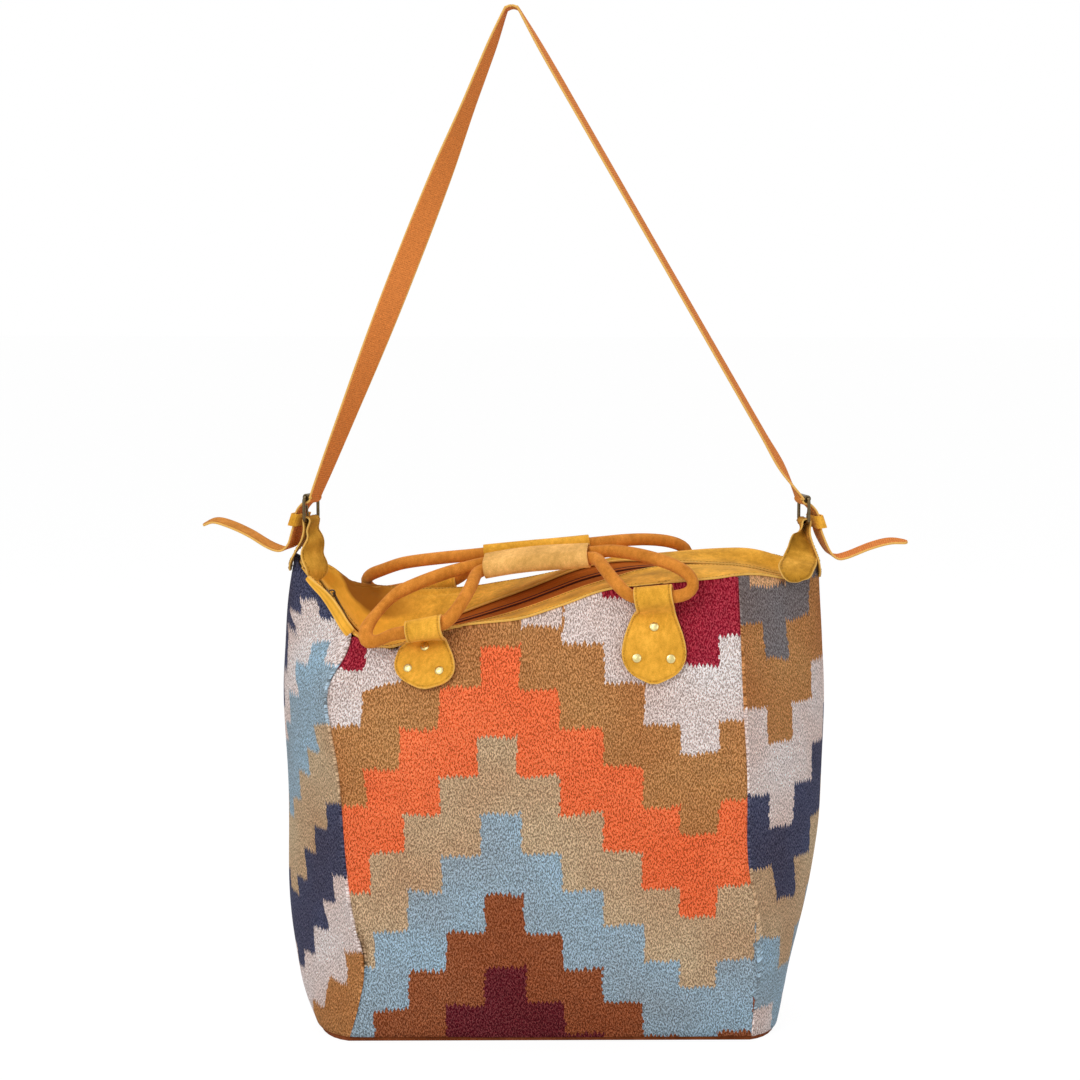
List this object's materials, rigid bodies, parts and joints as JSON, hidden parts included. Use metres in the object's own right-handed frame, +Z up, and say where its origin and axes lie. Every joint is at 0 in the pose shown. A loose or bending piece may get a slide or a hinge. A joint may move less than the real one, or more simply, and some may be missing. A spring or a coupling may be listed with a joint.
{
  "type": "crossbody tote bag",
  "caption": "Zip-top tote bag of flat-woven patterned cloth with suede trim, ring handles that swing on riveted tabs, and a shoulder strap through roller buckles.",
  "frame": {"origin": "middle of the flat base, on the surface it stands on", "axes": "+Z up, -Y towards the front with the pale grip, X along the bag's width"},
  "size_m": [0.6602, 0.231, 0.9378],
  "materials": {
    "woven_cloth": "flat-woven wool in stepped blocks of orange, browns, blues, off-white and burgundy",
    "ochre_suede": "napped ochre suede",
    "rolled_suede": "rolled suede",
    "pale_suede": "pale suede sleeve",
    "base_suede": "brown suede",
    "strap_suede": "suede strap with a ribbed inner face",
    "zip_tape": "woven tape",
    "zip_coil": "dark coil",
    "dark_nickel": "dark plated metal",
    "pale_brass": "worn brass",
    "antique_brass": "antique brass"
  },
  "bodies": {
    "bag": {"base_panel": "base_suede", "front_panel": "woven_cloth", "back_panel": "woven_cloth", "left_gusset": "woven_cloth", "right_gusset": "woven_cloth", "front_facing": "ochre_suede", "rear_facing": "ochre_suede", "zip_tape_front": "zip_tape", "zip_tape_rear": "zip_tape", "zip_coil": "zip_coil", "zip_stop_left": "dark_nickel", "zip_stop_right": "dark_nickel", "front_left_tab": "ochre_suede", "front_left_tab_rivet_1": "pale_brass", "front_left_tab_rivet_2": "pale_brass", "front_left_tab_rivet_3": "pale_brass", "front_right_tab": "ochre_suede", "front_right_tab_rivet_1": "pale_brass", "front_right_tab_rivet_2": "pale_brass", "front_right_tab_rivet_3": "pale_brass", "rear_left_tab": "ochre_suede", "rear_left_tab_rivet_1": "pale_brass", "rear_left_tab_rivet_2": "pale_brass", "rear_left_tab_rivet_3": "pale_brass", "rear_right_tab": "ochre_suede", "rear_right_tab_rivet_1": "pale_brass", "rear_right_tab_rivet_2": "pale_brass", "rear_right_tab_rivet_3": "pale_brass", "left_ear": "ochre_suede", "left_keeper": "ochre_suede", "right_ear": "ochre_suede", "right_keeper": "ochre_suede", "shoulder_strap": "strap_suede"},
    "front_handle": {"front_handle_ring": "rolled_suede", "front_handle_grip": "pale_suede"},
    "rear_handle": {"rear_handle_ring": "rolled_suede", "rear_handle_grip": "pale_suede"},
    "slider": {"zip_slider": "dark_nickel", "zip_bail": "dark_nickel"},
    "pull": {"zip_pull": "dark_nickel"},
    "left_buckle": {"left_buckle_frame": "antique_brass"},
    "left_roller": {"left_buckle_roller": "antique_brass"},
    "left_prong": {"left_buckle_prong": "antique_brass"},
    "right_buckle": {"right_buckle_frame": "antique_brass"},
    "right_roller": {"right_buckle_roller": "antique_brass"},
    "right_prong": {"right_buckle_prong": "antique_brass"}
  },
  "joints": [
    {"name": "front_handle_swing", "type": "hinge", "parent": "bag", "child": "front_handle", "pos_m": [-0.00757, -0.08488, 0.39426], "axis": [0.984, -0.0772, 0.1606], "range_deg": [0, 115]},
    {"name": "rear_handle_swing", "type": "hinge", "parent": "bag", "child": "rear_handle", "pos_m": [-0.01604, 0.08387, 0.40725], "axis": [0.9919, 0.081, 0.0976], "range_deg": [-120, 0]},
    {"name": "zip_slide", "type": "slide", "parent": "bag", "child": "slider", "axis": [0.5836, 0, -0.812], "range_m": [0, 0.016]},
    {"name": "pull_swing", "type": "hinge", "parent": "slider", "child": "pull", "pos_m": [-0.20856, 0, 0.3975], "axis": [0, 1, 0], "range_deg": [-75, 0]},
    {"name": "left_buckle_swing", "type": "hinge", "parent": "bag", "child": "left_buckle", "pos_m": [-0.23, 0, 0.468], "axis": [-0.3007, -0.9537, 0], "range_deg": [-40, 3.5], "deforming": ["shoulder_strap"]},
    {"name": "left_prong_swing", "type": "hinge", "parent": "left_buckle", "child": "left_prong", "pos_m": [-0.23, 0, 0.468], "axis": [-0.3007, -0.9537, 0], "range_deg": [0, 3.5], "deforming": ["shoulder_strap"]},
    {"name": "left_roller_turn", "type": "hinge", "parent": "left_buckle", "child": "left_roller", "pos_m": [-0.23, 0, 0.4905], "axis": [-0.3007, -0.9537, 0], "continuous": true, "deforming": ["shoulder_strap"]},
    {"name": "right_buckle_swing", "type": "hinge", "parent": "bag", "child": "right_buckle", "pos_m": [0.23, 0, 0.4705], "axis": [0.3007, -0.9537, 0], "range_deg": [-3.5, 40], "deforming": ["shoulder_strap"]},
    {"name": "right_prong_swing", "type": "hinge", "parent": "right_buckle", "child": "right_prong", "pos_m": [0.23, 0, 0.4705], "axis": [0.3007, -0.9537, 0], "range_deg": [-3.5, 0], "deforming": ["shoulder_strap"]},
    {"name": "right_roller_turn", "type": "hinge", "parent": "right_buckle", "child": "right_roller", "pos_m": [0.23, 0, 0.493], "axis": [0.3007, -0.9537, 0], "continuous": true, "deforming": ["shoulder_strap"]}
  ]
}
